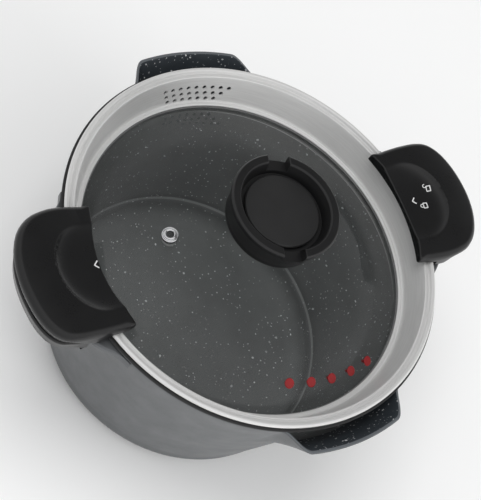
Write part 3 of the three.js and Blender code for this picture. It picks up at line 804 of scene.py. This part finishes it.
# ------------------------------------------------------------------ lid
lathe("seal_ring", rounded([(117.2, L - 4.2, 0.3), (121.2, L - 4.2, 0.4), (121.4, L - 3.75, 0.3), (121.2, L - 3.3, 0.4), (117.2, L - 3.3, 0.3)], 0.3, 3),
      "rubber", 300, "seal", "lid_seal")

band_prof = rounded([
    (116.7, L - 3.0, 0.3), (118.6, L - 3.1, 0.6), (120.0, L - 2.2, 1.2), (119.95, L - 0.5, 1.2), (118.5, L, 1.1), (117.3, L - 0.5, 0.7),
    (116.7, L - 2.3, 0.6), (115.1, L - 2.35, 0.5), (114.6, L - 1.5, 0.5), (113.6, L - 1.7, 0.9), (107.7, L - 18.6, 1.0),
    (107.0, L - 19.8, 0.4), (105.2, L - 19.4, 0.6), (104.4, L - 20.1, 0.5), (104.5, L - 20.8, 0.25), (107.5, L - 20.8, 0.2),
    (107.5, L - 27.2, 0.3), (105.0, L - 27.2, 0.2), (105.0, L - 28.0, 0.3), (108.4, L - 28.0, 0.5), (108.4, L - 19.6, 1.2),
    (113.7, L - 4.4, 1.0), (114.7, L - 3.0, 0.5)], 0.3, 5)
band = lathe("strainer_band", refine(band_prof, 4.0), "band", 360, sharp=35)
tilt = math.atan2(113.6 - 107.7, 18.6 - 1.7)          # the wall's lean from the vertical
holes = []
for n, r, z, first in ((9, 110.7, L - 9.2, 97.0), (8, 109.3, L - 13.4, 96.2), (7, 108.0, L - 17.4, 95.3)):
    for i in range(n):
        hv, hf, _ = turned_mesh([(0, -3), (1.4, -3), (1.4, 3), (0, 3)], 24)
        a = math.radians(first - 2.93 * i)
        # drum axis (local z) along the wall's normal
        N = Vector((-math.cos(tilt) * math.cos(a), -math.cos(tilt) * math.sin(a), math.sin(tilt)))
        q = N.to_track_quat("Z", "Y").to_matrix()
        c = Vector((r * math.cos(a), r * math.sin(a), z))
        holes.append((np.array([tuple(q @ Vector(p) + c) for p in hv]), hf))
cut(band, holes, "DIFFERENCE", 35)


def wall_normal(p):
    if p[:, 2].max() > L - 2.9 or p[:, 2].min() < L - 18.4:
        return None
    r = np.hypot(p[:, 0], p[:, 1])
    line = 113.6 + (p[:, 2] - (L - 1.7)) * (113.6 - 107.7) / (18.6 - 1.7)
    if np.abs(r - line).max() > 0.12:
        return None
    return np.stack([-math.cos(tilt) * p[:, 0] / r, -math.cos(tilt) * p[:, 1] / r, np.full(len(p), math.sin(tilt))], 1)

set_normals(band, wall_normal)
place(band, "lid", "lid_band")

lathe("edge_gasket", rounded([
    (103.7, L - 21.7), (106.7, L - 21.7), (106.7, L - 26.3), (104.4, L - 26.3), (104.4, L - 26.9),
    (107.2, L - 26.9), (107.2, L - 21.1), (103.7, L - 21.1)], 0.25, 3), "gasket", 300, "lid", "glass_gasket")

# glass: domed disc with a flat rolled edge
top = [(r, float(dome_z(r))) for r in np.arange(101.5, 4.3, -2.6)]
low = [(r, float(dome_z(r)) - GLASS_T) for r in np.arange(4.2, 101.2, 2.6)]
gp = [(4.2, float(dome_z(4.2)) - GLASS_T)] + low[1:] + rounded([
    (101.1, float(dome_z(101.1)) - GLASS_T), (103.2, L - 26.0, 1.0), (106.4, L - 26.0, 1.2), (106.4, L - 22.0, 1.2), (103.4, L - 22.0, 1.0), (101.6, float(dome_z(101.6)))],
    0.5, 5, closed=False) + top[1:] + [(4.2, float(dome_z(4.2)))]
gp = [(min(r, 106.4), z) for r, z in gp]
glass = lathe("glass_dome", gp, ["glass", "glass_in"], 240, sharp=40,
              index=lambda a, b: 0 if min(a[0], b[0]) < 103 and a[1] + b[1] > 2 * float(dome_z(min((a[0] + b[0]) / 2, 101.6))) - GLASS_T else 1)
PLUGS = [(88.2, -98.6), (89.8, -89.0), (92.1, -79.6), (94.7, -70.1), (97.7, -61.0)]
VENT = (57.0, 166.9)
drills = []
for (rr, az), rad in [(p, 1.5) for p in PLUGS] + [(VENT, 3.3)]:
    hv, hf, _ = turned_mesh([(0, -9), (rad, -9), (rad, 5), (0, 5)], 36)
    drills.append((seat(hv, rr, az), hf))
cut(glass, drills, "DIFFERENCE", 40)


def dome_normal(p):
    r = np.hypot(p[:, 0], p[:, 1])
    if r.max() > 101.3:
        return None
    z = dome_z(r)
    if np.abs(p[:, 2] - z).max() < 0.08 or np.abs(p[:, 2] - z + GLASS_T).max() < 0.08:
        n = np.stack([p[:, 0], p[:, 1], np.sqrt(DOME * DOME - r * r)], 1)
        return n / DOME
    return None

set_normals(glass, dome_normal)
place(glass, "lid", "lid_glass")

for i, (rr, az) in enumerate(PLUGS):
    lathe(f"red_plug_{i + 1}", rounded([
        (0, -3.4), (1.1, -3.4, 0.3), (1.1, 0.5, 0.1), (3.1, 0.4, 0.15), (3.1, 0.8, 0.25), (2.6, 1.1, 0.4), (0, 1.2)], 0.2, 4, closed=False),
        "red", 48, "lid", f"drain_plug_{i + 1}", ring=rr, az=az)

lathe("vent_tube", rounded([
    (2.2, -5.6, 0.2), (2.8, -5.6, 0.2), (2.8, 1.5, 0.1), (5.0, 1.4, 0.25), (5.0, 1.9, 0.3), (4.5, 2.2, 0.4), (3.95, 1.75, 0.2), (3.6, 1.85, 0.2), (3.5, 2.9, 0.5), (2.8, 3.2, 0.4), (2.2, 2.6, 0.4)], 0.2, 4),
    "chrome", 72, "lid", "vent_eyelet", ring=VENT[0], az=VENT[1])
lathe("vent_washer", rounded([(3.1, 0.4), (5.15, 0.4), (5.15, 1.25), (3.1, 1.25)], 0.2, 3), "rubber", 60, "lid", "vent_grommet", ring=VENT[0], az=VENT[1])
lathe("vent_ring", rounded([(3.1, -5.2), (4.2, -5.2), (4.2, -4.5), (3.1, -4.5)], 0.2, 3), "steel", 60, "lid", "vent_back_ring", ring=VENT[0], az=VENT[1])

# ------------------------------------------------------------------ knob
KF, KT = L + 33.6, L + 40.0
kp = rounded([
    (3.0, KF - 5.0, 0.3), (25.3, KF - 5.0, 1.5), (27.6, L + 19.5, 0.3), (30.3, L + 19.5, 0.8), (30.9, L + 23.5, 4.0), (32.4, KF - 3.5, 5.0), (33.9, KT - 4.0, 3.0),
    (34.2, KT - 1.2, 1.0), (33.2, KT, 1.0), (29.0, KT - 0.1, 0.9), (28.2, KT - 1.2, 0.9), (26.6, KF - 0.1, 0.5),
    (26.0, KF - 2.6, 0.3), (3.0, KF - 2.6, 0.2)], 0.4, 6)
knob = lathe("knob_ring", refine(kp, 3.0), "knob", 288, sharp=40)
notch_cut = []
h = 6.8
sec = [(-h, KF)] + [(-h - 0.9 * (1 - math.cos(t)), KT - 0.9 + 0.9 * math.sin(t)) for t in np.linspace(0, math.pi / 2, 5)] + [(-h - 0.9, KT + 3), (h + 0.9, KT + 3)] \
    + [(h + 0.9 * (1 - math.cos(t)), KT - 0.9 + 0.9 * math.sin(t)) for t in np.linspace(math.pi / 2, 0, 5)] + [(h, KF)]
for az in (73.9, 253.9):
    n = len(sec)
    v = np.array([(x, s, z) for x in (22.0, 40.0) for s, z in sec])
    f = [tuple(range(n)), tuple(reversed(range(n, 2 * n)))] + [(i, n + i, n + (i + 1) % n, (i + 1) % n) for i in range(n)]
    a = math.radians(az)
    v = np.stack([v[:, 0] * math.cos(a) - v[:, 1] * math.sin(a), v[:, 0] * math.sin(a) + v[:, 1] * math.cos(a), v[:, 2]], 1)
    notch_cut.append((v, f))
cut(knob, notch_cut, "DIFFERENCE", 40)
place(knob, "lid", "knob_body")
lathe("knob_inlay", rounded([
    (0, KF - 2.0), (23.2, KF - 2.0, 0.3), (23.7, KF - 0.9, 0.4), (23.0, KF + 0.1, 0.5), (12, KF + 0.2, 0), (0, KF + 0.25)], 0.3, 4, closed=False),
    "soft", 200, "lid", "knob_disc")
lathe("knob_neck", refine(rounded([
    (3.0, GLASS_TOP + 1.2), (17.7, GLASS_TOP + 1.2, 0.4), (17.7, GLASS_TOP + 3.4, 0.8), (15.5, GLASS_TOP + 6.0, 2.5), (14.5, KF - 9, 2), (14.5, KF - 5.3, 0.3), (3.0, KF - 5.3)], 0.3, 5), 3.0),
    "knob", 160, "lid", "knob_stem")
lathe("knob_seal", rounded([(3.0, GLASS_TOP + 0.3), (17.3, GLASS_TOP + 0.3), (17.3, GLASS_TOP + 0.9), (3.0, GLASS_TOP + 0.9)], 0.2, 3), "rubber", 120, "lid", "knob_gasket")
G0 = GLASS_TOP - GLASS_T
lathe("knob_back_washer", rounded([(3.0, G0 - 2.2), (9.5, G0 - 2.2), (9.5, G0 - 1.2), (3.0, G0 - 1.2)], 0.25, 3), "steel", 96, "lid", "knob_washer")
lathe("knob_back_screw", rounded([
    (0, G0 - 4.6), (1.6, G0 - 4.6, 0.2), (1.8, G0 - 5.1, 0.2), (3.6, G0 - 5.0, 0.6), (4.6, G0 - 3.8, 0.5), (4.6, G0 - 2.5, 0.2), (2.7, G0 - 2.5, 0.2), (2.7, KF - 3.0, 0.3), (0, KF - 3.0)], 0.2, 4, closed=False),
    "steel", 72, "lid", "knob_screw")


# ------------------------------------------------------------------ CAD pieces that stay: brackets, under covers, screws
for name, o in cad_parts.items():
    if o.hide_render:
        continue
    o.data.materials.clear()
    key = "black" if "base" in name else "steel"
    o.data.materials.append(M[key])
    for p in o.data.polygons:
        p.material_index = 0

# ------------------------------------------------------------------ stage, light, camera
fl = bpy.data.meshes.new("floor")
fl.from_pydata([(-4, -4, 0), (4, -4, 0), (4, 4, 0), (-4, 4, 0)], [], [(0, 1, 2, 3)])
fl.materials.append(M["floor"])
flo = bpy.data.objects.new("floor", fl)
bpy.context.scene.collection.objects.link(flo)
flo.location.z = -0.0002

A = math.radians(-59.5)
el, roll, dist, f = 0.9205518819952065, 0.7187969856997724, 0.900, 1517.5453
tx, ty = -0.0109665, -0.0074582
rz = Matrix.Rotation(A, 3, "Z")
d = Vector((0, -math.cos(el), math.sin(el)))
right = Vector((1, 0, 0))
up = d.cross(right)
Rv = right * math.cos(roll) + up * math.sin(roll)
Uv = -right * math.sin(roll) + up * math.cos(roll)
Rv, Uv, Dv = rz @ Rv, rz @ Uv, rz @ d
centre = Vector((0, 0, 0.138))
loc = Dv * dist + Rv * tx + Uv * ty + centre
cam = bpy.data.cameras.new("camera")
cam.sensor_fit = "VERTICAL"
cam.sensor_height = 36
cam.lens = f * 36 / 500
cam.clip_start, cam.clip_end = 0.01, 20
co = bpy.data.objects.new("camera", cam)
co.matrix_world = Matrix(((Rv.x, Uv.x, Dv.x, loc.x), (Rv.y, Uv.y, Dv.y, loc.y), (Rv.z, Uv.z, Dv.z, loc.z), (0, 0, 0, 1)))
bpy.context.scene.collection.objects.link(co)
bpy.context.scene.camera = co


def softbox(name, where, size, watts, size_y=None, tint=(1, 1, 1)):
    """area light placed in the picture's own directions: right, up, towards the camera, in metres from the lid"""
    li = bpy.data.lights.new(name, "AREA")
    li.shape = "RECTANGLE"
    li.size, li.size_y = size, size_y or size
    li.energy = watts
    li.color = tint
    o = bpy.data.objects.new(name, li)
    p = centre + Rv * where[0] + Uv * where[1] + Dv * where[2]
    o.location = p
    o.rotation_euler = (p - centre).to_track_quat("Z", "Y").to_euler()
    bpy.context.scene.collection.objects.link(o)
    o.visible_glossy = False

softbox("key", (0.5, 1.3, 1.9), 1.4, 20)
softbox("fill", (1.5, -1.6, 0.6), 1.0, 26)

w = bpy.data.worlds.new("world")
w.use_nodes = True
wt = w.node_tree
bg = wt.nodes["Background"]
gen = wt.nodes.new("ShaderNodeTexCoord")
sep = wt.nodes.new("ShaderNodeVectorMath"); sep.operation = "DOT_PRODUCT"
sep.inputs[1].default_value = tuple(Uv * 0.25 + Rv * 0.60 + Dv * 0.55)
wt.links.new(gen.outputs["Generated"], sep.inputs[0])
wr = wt.nodes.new("ShaderNodeValToRGB")
wr.color_ramp.elements[0].position, wr.color_ramp.elements[0].color = 0.0, (0.36, 0.37, 0.38, 1)
wr.color_ramp.elements[1].position, wr.color_ramp.elements[1].color = 1.0, (1.0, 1.0, 1.0, 1)
wm = wt.nodes.new("ShaderNodeMapRange")
wm.inputs[1].default_value, wm.inputs[2].default_value = -1.0, 1.0
wt.links.new(sep.outputs["Value"], wm.inputs[0])
wt.links.new(wm.outputs[0], wr.inputs[0])
# a dark card above and behind the pot keeps flat tops from mirroring white
card = wt.nodes.new("ShaderNodeVectorMath"); card.operation = "DOT_PRODUCT"
card.inputs[1].default_value = (math.cos(math.radians(52.7)) * math.cos(math.radians(30.5)), math.cos(math.radians(52.7)) * math.sin(math.radians(30.5)), math.sin(math.radians(52.7)))
wt.links.new(gen.outputs["Generated"], card.inputs[0])
cm = wt.nodes.new("ShaderNodeMapRange"); cm.interpolation_type = "SMOOTHSTEP"
for i, q in ((1, 0.60), (2, 0.93), (3, 1.0), (4, 0.22)):
    cm.inputs[i].default_value = q
wt.links.new(card.outputs["Value"], cm.inputs[0])
shade = wt.nodes.new("ShaderNodeVectorMath"); shade.operation = "SCALE"
wt.links.new(wr.outputs[0], shade.inputs[0])
wt.links.new(cm.outputs[0], shade.inputs["Scale"])
wt.links.new(shade.outputs[0], bg.inputs[0])
bg.inputs[1].default_value = 1.05
bpy.context.scene.world = w
bpy.context.scene.view_settings.view_transform = "Standard"
bpy.context.scene.view_settings.look = "None"
